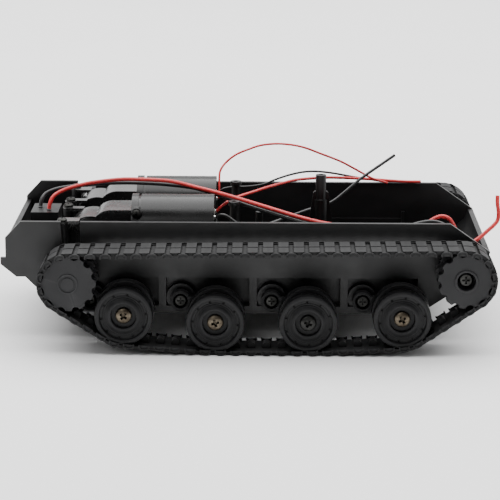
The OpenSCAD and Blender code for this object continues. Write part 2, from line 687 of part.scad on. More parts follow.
module arm_pivot_screws() {
    color("#55575c") for (s = SIDES) on_side(s) for (x = pivot_x)
        across([x, pivot_z], stub_end) screw(2.6, 1.3, 0.75, 4.5);
}

// Torsion springs, drawn as the ring their coils fill, round the stub behind each arm.
module arm_springs() {
    color("#c8cacf") for (s = SIDES) on_side(s) for (x = pivot_x) difference() {
        rod([x, pivot_z], spring_r, pocket_y + 0.05, cup_end - 0.9);
        rod([x, pivot_z], 3, pocket_y - 1, cup_end);
    }
}

// Road wheel: two rubber-rimmed discs on one hub, dished and recessed round the screw.
module road_wheel(s, i) {
    w = wheel_y[1];
    v = wheel_y[0];
    inner = belt_mid - disc_gap / 2;
    outer = belt_mid + disc_gap / 2;
    bore = axle_r + fit;
    color("#2e2f34") on_side(s) across(wheel_at[i]) rotate_extrude() polygon([
        [bore, wheel_hub[0]], [4.4, wheel_hub[0]], [4.4, v + 2], [8.6, v + 2], [9, v],
        [wheel_r - 0.3, v], [wheel_r, v + 0.3], [wheel_r, inner - 0.3], [wheel_r - 0.3, inner],
        [hub_r, inner], [hub_r, outer], [wheel_r - 0.3, outer], [wheel_r, outer + 0.3],
        [wheel_r, w - 0.5], [wheel_r - 0.5, w], [9.1, w], [8.7, w - 1.2], [5.4, w - 1.9],
        [4.9, w - 1.2], [4.5, wheel_hub[1]], [bore, wheel_hub[1]]]);
}

module wheel_screw(s, i) {
    color(i == 2 ? "#3a3b3f" : "#b0a58c") on_side(s)
        across(wheel_at[i], axle_end) translate([0, 0, gap * 2]) screw(3.1, 1.5, 0.75, 7);
}

// ---------------------------------------------------------------- drawing

hull_tub();
motor_cans();
motor_end_caps();
gear_pins();
gearbox_screws();
idler_screws();
arm_pivot_screws();
arm_springs();
for (s = SIDES) {
    gearbox_outer_half(s);
    gearbox_inner_half(s);
    motor_sleeve(s);
    motor_rotor(s);
    crown_gear(s);
    reduction_gear(s);
    output_gear(s);
    drive_axle(s);
    sprocket(s);
    idler(s);
    track(s);
    for (i = [0:3]) {
        arm(s, i);
        road_wheel(s, i);
        wheel_screw(s, i);
    }
}
color("#c8281e") lead(right_red_route, motor_lead_d);  // right_motor_red_lead
color("#16171a") lead(right_black_route, motor_lead_d);  // right_motor_black_lead
color("#c8281e") lead(left_red_route, thin_lead_d);  // left_motor_red_lead
color("#16171a") lead(left_black_route, thin_lead_d);  // left_motor_black_lead
color("#c8281e") lead(rear_red_route, rear_lead_d);  // rear_red_lead
color("#16171a") lead(rear_black_route, rear_lead_d);  // rear_black_lead
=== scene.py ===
"""Looks of the tracked tank chassis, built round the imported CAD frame. Metres, +X forward, +Y left."""
import json
import math
import random

import bmesh
import bpy
from mathutils import Matrix, Vector


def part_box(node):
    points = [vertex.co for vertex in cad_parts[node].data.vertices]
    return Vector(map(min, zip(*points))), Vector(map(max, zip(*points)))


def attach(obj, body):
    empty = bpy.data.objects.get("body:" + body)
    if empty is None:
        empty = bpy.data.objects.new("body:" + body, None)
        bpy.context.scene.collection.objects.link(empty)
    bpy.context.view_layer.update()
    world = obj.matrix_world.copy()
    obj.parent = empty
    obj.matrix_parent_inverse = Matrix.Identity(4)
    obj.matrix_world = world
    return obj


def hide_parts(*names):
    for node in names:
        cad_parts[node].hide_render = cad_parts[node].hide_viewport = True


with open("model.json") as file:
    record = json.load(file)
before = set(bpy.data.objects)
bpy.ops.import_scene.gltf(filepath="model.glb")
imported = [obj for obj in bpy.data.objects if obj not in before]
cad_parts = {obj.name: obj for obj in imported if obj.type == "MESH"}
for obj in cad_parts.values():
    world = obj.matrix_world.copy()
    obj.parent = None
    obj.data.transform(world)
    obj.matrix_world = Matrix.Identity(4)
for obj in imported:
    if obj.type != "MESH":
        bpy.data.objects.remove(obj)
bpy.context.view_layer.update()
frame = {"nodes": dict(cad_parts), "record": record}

MM = 0.001
SIDES = {"right": -1, "left": 1}
WHEELS = (1, 2, 3, 4)


# ---------------------------------------------------------------- camera

# Angles in degrees, position in metres, lens and sensor in millimetres.
PITCH = math.radians(14.53)
YAW = math.radians(-0.584)
ROLL = math.radians(0.22)
CAMERA_AT = Vector((0.0092, -0.7957, 0.2324))
LENS = 146.4
SENSOR_WIDE = 36
NEAR_CLIP = 0.05
FAR_CLIP = 20


def make_camera():
    forward = Vector((math.sin(YAW) * math.cos(PITCH), math.cos(YAW) * math.cos(PITCH), -math.sin(PITCH)))
    level = Vector((math.cos(YAW), -math.sin(YAW), 0))
    upright = level.cross(forward)
    right = level * math.cos(ROLL) + upright * math.sin(ROLL)
    up = upright * math.cos(ROLL) - level * math.sin(ROLL)
    data = bpy.data.cameras.new("camera")
    data.lens = LENS
    data.sensor_width = SENSOR_WIDE
    data.clip_start, data.clip_end = NEAR_CLIP, FAR_CLIP
    camera = bpy.data.objects.new("camera", data)
    axes = Matrix((right, up, -forward)).transposed()
    camera.matrix_world = Matrix.Translation(CAMERA_AT) @ axes.to_4x4()
    bpy.context.scene.collection.objects.link(camera)
    bpy.context.scene.camera = camera


make_camera()


# ---------------------------------------------------------------- materials

NOISE_LOW, NOISE_HIGH = 0.3, 0.7
BUMP_STRENGTH = 0.6
# Painted highlight on convex edges: its pointiness range, and how much lighter than the light tone it is.
HIGHLIGHT_LOW, HIGHLIGHT_HIGH = 0.52, 0.62
HIGHLIGHT_GAIN, HIGHLIGHT_LIFT = 2.2, 0.01
# Occlusion range and samples of the painted shade in recesses.
HIDDEN_LOW, HIDDEN_HIGH = 0.4, 0.85
HIDDEN_SAMPLES = 4
TONE_SCALE = 70
GLOSS_SCALE = 160
METAL_TONE_SCALE = 350
GRAIN_DETAIL = 4
# How far the painted shade in recesses reaches, for plastic and for metal.
PLASTIC_REACH = 0.003
METAL_REACH = 0.0015
COAT_ROUGH = 0.2
TOOL_MARK_DEPTH = 0.00002


def new_material(name):
    material = bpy.data.materials.new(name)
    material.use_nodes = True
    nodes = material.node_tree.nodes
    return material, nodes, material.node_tree.links, nodes["Principled BSDF"]


def noise(nodes, links, scale, detail=3.0, stretch=(1, 1, 1)):
    """A noise texture in object coordinates; scale is in cycles per metre."""
    place = nodes.new("ShaderNodeTexCoord")
    mapping = nodes.new("ShaderNodeMapping")
    mapping.inputs["Scale"].default_value = stretch
    texture = nodes.new("ShaderNodeTexNoise")
    texture.inputs["Scale"].default_value = scale
    texture.inputs["Detail"].default_value = detail
    links.new(place.outputs["Object"], mapping.inputs["Vector"])
    links.new(mapping.outputs["Vector"], texture.inputs["Vector"])
    return texture.outputs["Fac"]


def spread(nodes, links, value, low, high):
    """Maps the middle of a noise onto the range from low to high."""
    node = nodes.new("ShaderNodeMapRange")
    node.inputs["From Min"].default_value = NOISE_LOW
    node.inputs["From Max"].default_value = NOISE_HIGH
    node.inputs["To Min"].default_value = low
    node.inputs["To Max"].default_value = high
    links.new(value, node.inputs["Value"])
    return node.outputs["Result"]


def two_tone(nodes, links, value, dark, light):
    ramp = nodes.new("ShaderNodeValToRGB")
    ramp.color_ramp.elements[0].position = NOISE_LOW
    ramp.color_ramp.elements[1].position = NOISE_HIGH
    ramp.color_ramp.elements[0].color = (*dark, 1)
    ramp.color_ramp.elements[1].color = (*light, 1)
    links.new(value, ramp.inputs["Fac"])
    return ramp.outputs["Color"]


def bump(nodes, links, shader, value, depth):
    node = nodes.new("ShaderNodeBump")
    node.inputs["Strength"].default_value = BUMP_STRENGTH
    node.inputs["Distance"].default_value = depth
    links.new(value, node.inputs["Height"])
    links.new(node.outputs["Normal"], shader.inputs["Normal"])


def painted_edge_highlight(nodes, links, base, edge, amount):
    """Paints a highlight on convex edges, mixing in a lighter colour where pointiness is high."""
    geometry = nodes.new("ShaderNodeNewGeometry")
    reach = nodes.new("ShaderNodeMapRange")
    reach.inputs["From Min"].default_value = HIGHLIGHT_LOW
    reach.inputs["From Max"].default_value = HIGHLIGHT_HIGH
    reach.inputs["To Max"].default_value = amount
    mix = nodes.new("ShaderNodeMix")
    mix.data_type = "RGBA"
    mix.inputs["B"].default_value = (*edge, 1)
    links.new(geometry.outputs["Pointiness"], reach.inputs["Value"])
    links.new(reach.outputs["Result"], mix.inputs["Factor"])
    links.new(base, mix.inputs["A"])
    return mix.outputs["Result"]


def shaded(nodes, links, base, amount, reach):
    """Paints shade into the colour: darkens corners and recesses within reach of other faces."""
    hidden = nodes.new("ShaderNodeAmbientOcclusion")
    hidden.samples = HIDDEN_SAMPLES
    hidden.inputs["Distance"].default_value = reach
    openness = nodes.new("ShaderNodeMapRange")
    openness.inputs["From Min"].default_value = HIDDEN_LOW
    openness.inputs["From Max"].default_value = HIDDEN_HIGH
    openness.inputs["To Min"].default_value = 1 - amount
    mix = nodes.new("ShaderNodeMix")
    mix.data_type = "RGBA"
    mix.inputs["A"].default_value = (0, 0, 0, 1)
    links.new(hidden.outputs["AO"], openness.inputs["Value"])
    links.new(openness.outputs["Result"], mix.inputs["Factor"])
    links.new(base, mix.inputs["B"])
    return mix.outputs["Result"]


def moulded(name, dark, light, rough, shine=0.5, grain=2600, depth=0.00001, edge=0.3,
            coat=0.0, painted_shade=0.0):
    """Moulded plastic or rubber: soft tone changes, a fine grain, a painted edge highlight and optional
    painted shade.
    """
    material, nodes, links, shader = new_material(name)
    tone = two_tone(nodes, links, noise(nodes, links, TONE_SCALE), dark, light)
    # Colour of the painted highlight on convex edges.
    highlight_tone = tuple(min(1, HIGHLIGHT_GAIN * c + HIGHLIGHT_LIFT) for c in light)
    colour = painted_edge_highlight(nodes, links, tone, highlight_tone, edge)
    # Painted shade: darkens the colour in corners and recesses.
    if painted_shade:
        colour = shaded(nodes, links, colour, painted_shade, PLASTIC_REACH)
    links.new(colour, shader.inputs["Base Color"])
    links.new(spread(nodes, links, noise(nodes, links, GLOSS_SCALE), *rough), shader.inputs["Roughness"])
    bump(nodes, links, shader, noise(nodes, links, grain, GRAIN_DETAIL), depth)
    shader.inputs["Specular IOR Level"].default_value = shine
    shader.inputs["Coat Weight"].default_value = coat
    shader.inputs["Coat Roughness"].default_value = COAT_ROUGH
    return material


def metal(name, dark, light, rough, stretch=(1, 1, 1), grain=900, painted_shade=0.0):
    """Plated or turned steel with fine tool marks, and optional painted shade in recesses."""
    material, nodes, links, shader = new_material(name)
    marks = noise(nodes, links, grain, GRAIN_DETAIL, stretch)
    colour = two_tone(nodes, links, noise(nodes, links, METAL_TONE_SCALE), dark, light)
    # Painted shade: darkens the colour in corners and recesses.
    if painted_shade:
        colour = shaded(nodes, links, colour, painted_shade, METAL_REACH)
    links.new(colour, shader.inputs["Base Color"])
    links.new(spread(nodes, links, marks, *rough), shader.inputs["Roughness"])
    bump(nodes, links, shader, marks, TOOL_MARK_DEPTH)
    shader.inputs["Metallic"].default_value = 1.0
    return material


def grey(value, blue=1.06):
    return (value, value, value * blue)


# In each finish, edge sets the painted highlight on convex edges; the shade amount sets the painted shade in
# recesses.
MATERIALS = {
    "hull_plastic": moulded("hull_plastic", grey(0.004), grey(0.008), (0.34, 0.44), shine=0.4),
    "case_plastic": moulded("case_plastic", grey(0.010, 1), grey(0.018, 1), (0.20, 0.30), depth=0.000002,
                            coat=0.5),
    "sleeve_plastic": moulded("sleeve_plastic", grey(0.004, 1), grey(0.007, 1), (0.22, 0.32), depth=0.000002,
                              shine=0.35),
    "wheel_plastic": moulded("wheel_plastic", grey(0.007), grey(0.012), (0.36, 0.48), shine=0.2, painted_shade=0.8),
    "drive_plastic": moulded("drive_plastic", grey(0.014), grey(0.021), (0.42, 0.52), shine=0.25, painted_shade=0.6),
    "track_rubber": moulded("track_rubber", grey(0.014, 1.02), grey(0.026, 1.02), (0.5, 0.65), shine=0.1,
                            grain=1900, depth=0.00003, edge=0.6, painted_shade=0.95),
    # Near-black rubber: painted shade for the track's hollows.
    "hollow_shade_paint": moulded("hollow_shade_paint", grey(0.0015, 1), grey(0.003, 1), (0.6, 0.7), shine=0.05, edge=0.0),
    # Lighter copy of the track rubber: painted light for the arched link ends.
    "arch_light_paint": moulded("arch_light_paint", grey(0.035, 1), grey(0.060, 1), (0.5, 0.65), shine=0.2,
                             edge=0.4),
    "gear_nylon": moulded("gear_nylon", (0.72, 0.70, 0.62), (0.80, 0.78, 0.71), (0.35, 0.48), edge=0.1),
    "cap_plastic": moulded("cap_plastic", (0.66, 0.65, 0.60), (0.76, 0.75, 0.70), (0.38, 0.5), edge=0.1),
    "plated_steel": metal("plated_steel", (0.48, 0.49, 0.51), (0.60, 0.61, 0.63), (0.22, 0.36), (0.1, 1, 1)),
    "bright_steel": metal("bright_steel", (0.56, 0.57, 0.60), (0.68, 0.69, 0.71), (0.18, 0.32)),
    "screw_steel": metal("screw_steel", (0.055, 0.043, 0.030), (0.16, 0.135, 0.10), (0.30, 0.46), painted_shade=0.97),
    "dark_screw": metal("dark_screw", grey(0.022, 0.95), grey(0.055, 0.95), (0.30, 0.48), painted_shade=0.9),
    "solder": metal("solder", (0.58, 0.58, 0.57), (0.74, 0.74, 0.72), (0.2, 0.4)),
    "red_insulation": moulded("red_insulation", (0.52, 0.022, 0.024), (0.66, 0.040, 0.040), (0.34, 0.44),
                              grain=1400, edge=0.0),
    "black_insulation": moulded("black_insulation", grey(0.010), grey(0.018), (0.34, 0.46),
                                grain=1400, edge=0.0),
}


def paint(piece, slot):
    piece.data.materials.clear()
    piece.data.materials.append(MATERIALS[slot])


# ---------------------------------------------------------------- leads

# The CAD leads' routes, repeated in millimetres.
ROUTES = {
    "right_motor_red_lead": [
        (-12, -11.5, 45), (-10, -11, 47), (-7, -8.5, 48.5), (-3, -4.5, 49.5), (2, 0.5, 50),
        (7, 6, 50.5), (13, 14, 50.5), (19, 21, 50.5), (25, 26.5, 50), (32, 31, 49.5), (39, 33, 49),
        (46, 34, 48.5), (53, 34.5, 48), (60, 34.5, 47.5), (66, 34.5, 47.2), (72, 34.5, 47.2)],
    "right_motor_black_lead": [
        (-12, -21.5, 45), (-10, -22, 46), (-7.5, -22.5, 45.5), (-4, -23, 43), (0, -21.5, 41.5),
        (5, -17.5, 40.5), (10, -12, 40.5), (15, -6, 41), (20, -0.5, 41.5), (25, 5, 42), (30, 8, 42.5),
        (35, 10, 44.5), (40, 12.5, 48), (46, 15.5, 52.5), (53, 18, 57), (60, 20, 61.5)],
    "left_motor_red_lead": [
        (-12, 11.5, 45), (-11.7, 12, 48), (-11.7, 14, 52), (-11.3, 16, 55.5), (-9, 18, 58.5),
        (-5, 19, 61.5), (0, 20, 63.5), (5, 21, 65), (11, 22, 65.5), (17, 23, 65), (23, 24.5, 63.5),
        (30, 26.5, 60.5), (38, 28.5, 57), (45, 30, 53), (51, 31, 49.5), (55, 32, 48), (58, 32.5, 47)],
    "left_motor_black_lead": [
        (-12, 21.5, 45), (-10, 22, 46.5), (-6, 23, 47), (0, 24, 47), (6, 26, 47.5), (11, 28.5, 49),
        (17, 31, 50.5), (23, 32.5, 51.5), (29, 33.5, 51.5), (36, 34.5, 50.5), (43, 35.5, 49),
        (49, 36, 48), (56, 36, 47), (63, 36, 47), (70, 36, 47)],
    "rear_red_lead": [
        (-80, 1, 42.5), (-79.5, 1.5, 45), (-78, 3, 47.5), (-74, 5, 49.5), (-67, 6, 51.5), (-60, 5, 53),
        (-50, 3, 54.5), (-40, 0, 55), (-30, -3, 55), (-20, -7, 53.5), (-10, -11.5, 52), (0, -15.5, 50),
        (10, -20, 48), (20, -24.5, 46), (30, -28.5, 44.5), (40, -29.5, 43.5), (50, -29, 43),
        (60, -28.5, 42.5), (66, -29, 43), (69.5, -29, 44.5), (72.5, -29, 46.5), (75.5, -28.5, 47.5),
        (78.5, -28, 46.5), (80.5, -27.5, 43.5), (82.5, -27, 40), (85, -26.5, 37.5), (88, -25.5, 36.5),
        (91, -24.5, 38), (94, -23.5, 40.5), (96.5, -22.5, 42.5), (98.2, -21.5, 44.5), (98.5, -21, 47.5),
        (98, -20.5, 51), (98, -20, 54)],
    "rear_black_lead": [
        (-84, 6, 42.5), (-83.5, 7, 45), (-82, 9, 47), (-78, 10.5, 48.5), (-73, 10.5, 49.5),
        (-67, 9.5, 50.5), (-60, 8, 51.5), (-50, 5.5, 52.5), (-40, 2.5, 53), (-30, -0.5, 53),
        (-20, -4.5, 52.5), (-10, -9.5, 50.5), (0, -14.5, 48), (10, -19.5, 46), (20, -24, 44),
        (30, -28.5, 42.5), (40, -31.5, 41.5), (50, -32, 41.5), (60, -32, 43.5), (67, -31.5, 45.5),
        (72, -31, 46), (76, -31, 45), (80, -30.5, 42.5)],
}
DIAMETERS = {"right_motor": 1.2, "left_motor": 0.9, "rear": 1.6}
STEPS = 4  # pieces of curve between two points of a route
WIRE_ROUNDNESS = 5


def curve_point(a, b, c, d, t):
    """Point at t between b and c on a Catmull-Rom curve."""
    return 0.5 * (2 * b + (c - a) * t + (2 * a - 5 * b + 4 * c - d) * t * t
                  + (3 * b - a - 3 * c + d) * t ** 3)


def smooth_route(points):
    """The same curve through the points as the CAD lead, in metres."""
    p = [Vector(q) * MM for q in points]
    last = len(p) - 1
    line = [curve_point(p[max(i - 1, 0)], p[i], p[i + 1], p[min(i + 2, last)], k / STEPS)
            for i in range(last) for k in range(STEPS)]
    return line + [p[last]]


def make_lead(node, points):
    diameter = next(d for start, d in DIAMETERS.items() if node.startswith(start)) * MM
    line = smooth_route(points)
    data = bpy.data.curves.new(node + "_wire", "CURVE")
    data.dimensions = "3D"
    data.bevel_depth = diameter / 2
    data.bevel_resolution = WIRE_ROUNDNESS
    data.use_fill_caps = True
    spline = data.splines.new("POLY")
    spline.points.add(len(line) - 1)
    for target, point in zip(spline.points, line):
        target.co = (*point, 1)
    spline.use_smooth = True
    wire = bpy.data.objects.new(node + "_wire", data)
    bpy.context.scene.collection.objects.link(wire)
    colour = "red_insulation" if "red" in node else "black_insulation"
    paint(wire, colour)
    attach(wire, "chassis")
    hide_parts(node)
    length = sum((b - a).length for a, b in zip(line, line[1:]))
    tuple(line[0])


for name, route in ROUTES.items():
    make_lead(name, route)


# ---------------------------------------------------------------- mesh helpers

BEVEL_STEPS = 2
BEVEL_ANGLE = math.radians(35)
SPLIT_ANGLE = math.radians(40)
WELD_REACH = 0.000002


def add_object(name, bm, slot, body, nodes=(), bevel=0.0):
    """Turns a bmesh into a piece with its material, its body and the CAD nodes it stands for."""
    bmesh.ops.recalc_face_normals(bm, faces=bm.faces)
    mesh = bpy.data.meshes.new(name)
    bm.to_mesh(mesh)
    bm.free()
    piece = bpy.data.objects.new(name, mesh)
    bpy.context.scene.collection.objects.link(piece)
    mesh.shade_smooth()
    if bevel:
        soften(piece, bevel)
    paint(piece, slot)
    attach(piece, body)
    if nodes:
        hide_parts(*nodes)
    return piece


def soften(piece, width, weld=False):
    """Rounds a piece's sharp edges."""
    if weld:
        join = piece.modifiers.new("weld", "WELD")
        join.merge_threshold = WELD_REACH
    edge = piece.modifiers.new("bevel", "BEVEL")
    edge.width = width
    edge.segments = BEVEL_STEPS
    edge.limit_method = "ANGLE"
    edge.angle_limit = BEVEL_ANGLE
    edge.harden_normals = False
    normals = piece.modifiers.new("normals", "WEIGHTED_NORMAL")
    normals.keep_sharp = False


def centre_of(node):
    low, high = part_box(node)
    return (low + high) / 2


def lathe(bm, profile, side, steps=96):
    """Turns a closed outline of (radius, |y|) about the Y axis."""
    rings = []
    for k in range(steps):
        angle = 2 * math.pi * k / steps
        rings.append([bm.verts.new((r * math.cos(angle), side * y, r * math.sin(angle)))
                      for r, y in profile])
    count = len(profile)
    for k in range(steps):
        here, after = rings[k], rings[(k + 1) % steps]
        for j in range(count):
            bm.faces.new((here[j], here[(j + 1) % count], after[(j + 1) % count], after[j]))


def cut_away(solid, cutter):
    """The mesh that is left of one bmesh after another is cut from it."""
    made = []
    for name, bm in (("solid", solid), ("cutter", cutter)):
        bmesh.ops.recalc_face_normals(bm, faces=bm.faces)
        mesh = bpy.data.meshes.new(name)
        bm.to_mesh(mesh)
        bm.free()
        made.append(bpy.data.objects.new(name, mesh))
        bpy.context.scene.collection.objects.link(made[-1])
    cut = made[0].modifiers.new("cut", "BOOLEAN")
    cut.operation = "DIFFERENCE"
    cut.solver = "EXACT"
    cut.use_self = True
    cut.object = made[1]
    bpy.context.view_layer.update()
    graph = bpy.context.evaluated_depsgraph_get()
    result = bpy.data.meshes.new_from_object(made[0].evaluated_get(graph))
    for piece in made:
        bpy.data.objects.remove(piece)
    return result


# ---------------------------------------------------------------- tracks

LINKS = 65
BAND = 0.6 * MM
PAD_HIGH = 0.6 * MM
LUG_HIGH = 2.4 * MM
WHEEL_GAP = 0.15 * MM
EDGE = 1.2 * MM
GROOVE = 0.9 * MM
PAD_LONG = 3.9 * MM
PAD_SINK = 0.05 * MM
LINK_END = 0.65 * MM
WEB_SHARE, FLOOR_SHARE, TONGUE_SHARE = 0.66, 0.36, 0.5
RING_LONG = 4.3 * MM
RING_FOOT = -1.2 * MM
RING_RISE = 0.5 * MM
RING_THICK = 0.6 * MM
PLUG_LONG = 3.4 * MM
PLUG_FOOT = -1.0 * MM
PLUG_RISE = 0.1 * MM
LUG_LONG = 3.0 * MM
LUG_WIDE = 4.2 * MM
LUG_SHOULDER = 0.4
TRACK_BEVEL = 0.12 * MM
# Materials of a track's faces: a near-black rubber painted as shade in the hollows, and a lighter rubber
# painted as light on the arched link ends. add_object() paints the finished mesh, which sets every face
# back to the first one, so these two tones don't show.
SHADE_PAINT_INDEX = 1
LIGHT_PAINT_INDEX = 2


class BeltLine:
    """Middle line of a track's band: arcs round six circles and the straight runs between them."""

    def __init__(self, side):
        nodes = [f"{side}_sprocket"] + [f"{side}_road_wheel_{n}" for n in WHEELS] + [f"{side}_idler"]
        self.centres = []
        self.radii = []
        for node in nodes:
            low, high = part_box(node)
            middle = (low + high) / 2
            self.centres.append(Vector((middle.x, middle.z)))
            self.radii.append((high.x - low.x) / 2 + WHEEL_GAP + BAND / 2)
        # Notches make a toothed disc's box narrower than its tip circle, so the belt's own box
        # sets those two.
        low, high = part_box(f"{side}_track")
        self.radii[5] = high.x - self.centres[5].x - PAD_HIGH - BAND / 2
        self.radii[0] = self.radii[5]
        count = len(nodes)
        self.normals = []
        for i in range(count):
            j = (i + 1) % count
            d = self.centres[j] - self.centres[i]
            self.normals.append(math.atan2(d.y, d.x) - math.acos((self.radii[i] - self.radii[j]) / d.length))
        self.runs = []
        for i in range(count):
            j = (i + 1) % count
            turn = (self.normals[i] - self.normals[i - 1]) % (2 * math.pi)
            d = (self.centres[j] - self.centres[i]).length
            e = self.radii[i] - self.radii[j]
            self.runs.append((turn * self.radii[i], math.sqrt(d * d - e * e)))
        self.length = sum(a + b for a, b in self.runs)

    def at(self, s, off):
        """Point at distance s round the loop, moved outwards by off."""
        s %= self.length
        for i, (arc, line) in enumerate(self.runs):
            if s < arc:
                angle = self.normals[i - 1] + s / self.radii[i]
                out = Vector((math.cos(angle), math.sin(angle)))
                return self.centres[i] + out * (self.radii[i] + off)
            if s < arc + line:
                angle = self.normals[i]
                out = Vector((math.cos(angle), math.sin(angle)))
                ahead = Vector((-out.y, out.x))
                return self.centres[i] + out * (self.radii[i] + off) + ahead * (s - arc)
            s -= arc + line
        return self.at(0, off)


def prism(bm, belt, outline, y_from, y_to, tone=0):
    """A solid whose outline of (distance, offset) is bent along the belt."""
    ends = []
    for y in (y_from, y_to):
        points = [belt.at(s, off) for s, off in outline]
        ends.append([bm.verts.new((p.x, y, p.y)) for p in points])
    count = len(outline)
    faces = [bm.faces.new(ends[0]), bm.faces.new(reversed(ends[1]))]
    for j in range(count):
        k = (j + 1) % count
        faces.append(bm.faces.new((ends[0][k], ends[0][j], ends[1][j], ends[1][k])))
    for face in faces:
        face.material_index = tone


def box_outline(s, length, low, high, steps=1):
    top = [(s + length / 2 - length * k / steps, high) for k in range(steps + 1)]
    bottom = [(s - length / 2 + length * k / steps, low) for k in range(steps + 1)]
    return top + bottom


def lug_outline(s, length, base, tip, steps=8):
    """Guide lug: straight sides from base, then a round top at tip."""
    half = length / 2
    shoulder = base + (tip - base) * LUG_SHOULDER
    arc = [(s + half * math.cos(math.pi * k / steps),
            shoulder + (tip - shoulder) * math.sin(math.pi * k / steps)) for k in range(steps + 1)]
    return [(s - half, base), (s + half, base)] + arc


def ring_outline(s, length, base, tip, thick, steps=10):
    """Hollow link end: an arched strip whose feet stand on base."""
    outer, inner = length / 2, length / 2 - thick
    angles = [math.pi * k / steps for k in range(steps + 1)]
    over = [(s + outer * math.cos(a), base + (tip - base) * math.sin(a) ** 0.5) for a in angles]
    under = [(s + inner * math.cos(a), base + (tip - thick - base) * math.sin(a) ** 0.5)
             for a in reversed(angles)]
    return over + under


def make_track(side):
    belt = BeltLine(side)
    low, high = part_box(f"{side}_track")
    inner, outer = sorted((abs(low.y), abs(high.y)))
    middle = (inner + outer) / 2
    sign = SIDES[side]
    pitch = belt.length / LINKS
    rubber = bmesh.new()

    def add(outline, y_from, y_to, tone=0):
        prism(rubber, belt, outline, sign * y_from, sign * y_to, tone)

    for k in range(LINKS):
        s = k * pitch
        joint = s + pitch / 2
        # web of the link, and the sunken floor that joins it to the next one
        add(box_outline(s, pitch * WEB_SHARE, -BAND / 2, BAND / 2, 2), inner + EDGE, outer - EDGE)
        # The sunken floor gets the near-black painted shade.
        add(box_outline(joint, pitch * FLOOR_SHARE, -BAND / 2, -BAND / 4), inner + EDGE, outer - EDGE, SHADE_PAINT_INDEX)
        # two aligned pads with a groove between them
        for start in (inner + EDGE, middle + GROOVE / 2):
            add(box_outline(s, PAD_LONG, BAND / 2 - PAD_SINK, BAND / 2 + PAD_HIGH, 2), start,
                start + (outer - inner - GROOVE) / 2 - EDGE)
        # hollow link ends at both edges, in the gaps between the pads: an arched strip round a plug
        for edge, inwards in ((inner, 1), (outer, -1)):
            # The arched strip gets the lighter rubber, painted light.
            add(ring_outline(joint, RING_LONG, RING_FOOT, BAND / 2 + RING_RISE, RING_THICK),
                *sorted((edge, edge + inwards * LINK_END)), LIGHT_PAINT_INDEX)
            # Plug and tongue get the near-black painted shade.
            add(box_outline(joint, PLUG_LONG, PLUG_FOOT, BAND / 2 + PLUG_RISE),
                *sorted((edge + inwards * LINK_END * 0.7, edge + inwards * LINK_END)), SHADE_PAINT_INDEX)
            add(box_outline(joint, pitch * TONGUE_SHARE, -BAND * 0.45, BAND * 0.45),
                *sorted((edge + inwards * LINK_END * 0.8, edge + inwards * (EDGE + 0.1 * MM))), SHADE_PAINT_INDEX)
        # guide lug between the wheel discs
        add(lug_outline(joint, LUG_LONG, -BAND * 0.4, -BAND / 2 - LUG_HIGH), middle - LUG_WIDE / 2,
            middle + LUG_WIDE / 2)
    track = add_object(f"{side}_track_rubber", rubber, "track_rubber", "chassis", [f"{side}_track"],
                       TRACK_BEVEL)
    # Extra slots: painted shade for the hollows, painted light for the arched link ends.
    track.data.materials.append(MATERIALS["hollow_shade_paint"])
    track.data.materials.append(MATERIALS["arch_light_paint"])


for side_name in SIDES:
    make_track(side_name)


# ---------------------------------------------------------------- road wheels

HOLES = 10
HOLE_RING = 8.55 * MM
HOLE_R = 0.5 * MM
HOLE_DEEP = 1.6 * MM
HOLE_AT = 1.3 * MM  # below the rim's outer face
HALF_GAP = 2.6 * MM  # half the groove between the two discs
WHEEL_TURN = 11  # degrees from one wheel to the next, so that they don't match


def wheel_profile(low, high, radius):
    """Outline of a double-disc road wheel as (radius, |y|), all in metres."""
    v, w, r = low, high, radius
    gap_low = (v + w) / 2 - HALF_GAP
    gap_high = (v + w) / 2 + HALF_GAP
    back = [(1.55, 0.8), (4.4, 0.8), (4.4, 2), (8.6, 2), (9, 0.15), (9.2, 0)]
    inner = [(a * MM, v + b * MM) for a, b in back]
    rims = [(r - 0.35 * MM, v), (r - 0.1 * MM, v + 0.1 * MM), (r, v + 0.35 * MM),
            (r, gap_low - 0.35 * MM), (r - 0.1 * MM, gap_low - 0.1 * MM), (r - 0.35 * MM, gap_low),
            (7.3 * MM, gap_low), (7.2 * MM, gap_low + 0.1 * MM), (7.2 * MM, gap_high - 0.1 * MM),
            (7.3 * MM, gap_high), (r - 0.35 * MM, gap_high), (r - 0.1 * MM, gap_high + 0.1 * MM),
            (r, gap_high + 0.35 * MM), (r, w - 0.65 * MM), (r - 0.15 * MM, w - 0.22 * MM),
            (r - 0.6 * MM, w)]
    face = [(9.5, 0), (9.3, -0.12), (9.2, -0.6), (9.05, -1.3), (8.7, -1.5), (8.0, -1.42),
            (7.9, -1.3), (7.3, -1.2), (7.2, -1.05), (6.5, -0.92), (6.4, -0.8), (5.5, -0.62), (5.1, -0.6),
            (4.9, -0.75), (4.8, -2.0), (4.7, -2.45), (1.55, -2.5)]
    return inner + rims + [(a * MM, w + b * MM) for a, b in face]


def wheel_mesh(side):
    """One wheel about the Y axis at x = z = 0, with its ring of moulded holes cut in."""
    low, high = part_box(f"{side}_road_wheel_1")
    near, far = sorted((abs(low.y), abs(high.y)))
    sign = SIDES[side]
    disc = bmesh.new()
    lathe(disc, wheel_profile(near, far, (high.x - low.x) / 2), sign)
    drills = bmesh.new()
    for k in range(HOLES):
        angle = 2 * math.pi * (k + 0.5) / HOLES
        centre = Matrix.Translation((HOLE_RING * math.cos(angle), sign * (far - HOLE_AT),
                                     HOLE_RING * math.sin(angle)))
        bmesh.ops.create_cone(drills, cap_ends=True, segments=16, radius1=HOLE_R, radius2=HOLE_R,
                              depth=HOLE_DEEP, matrix=centre @ Matrix.Rotation(math.pi / 2, 4, "X"))
    return cut_away(disc, drills)


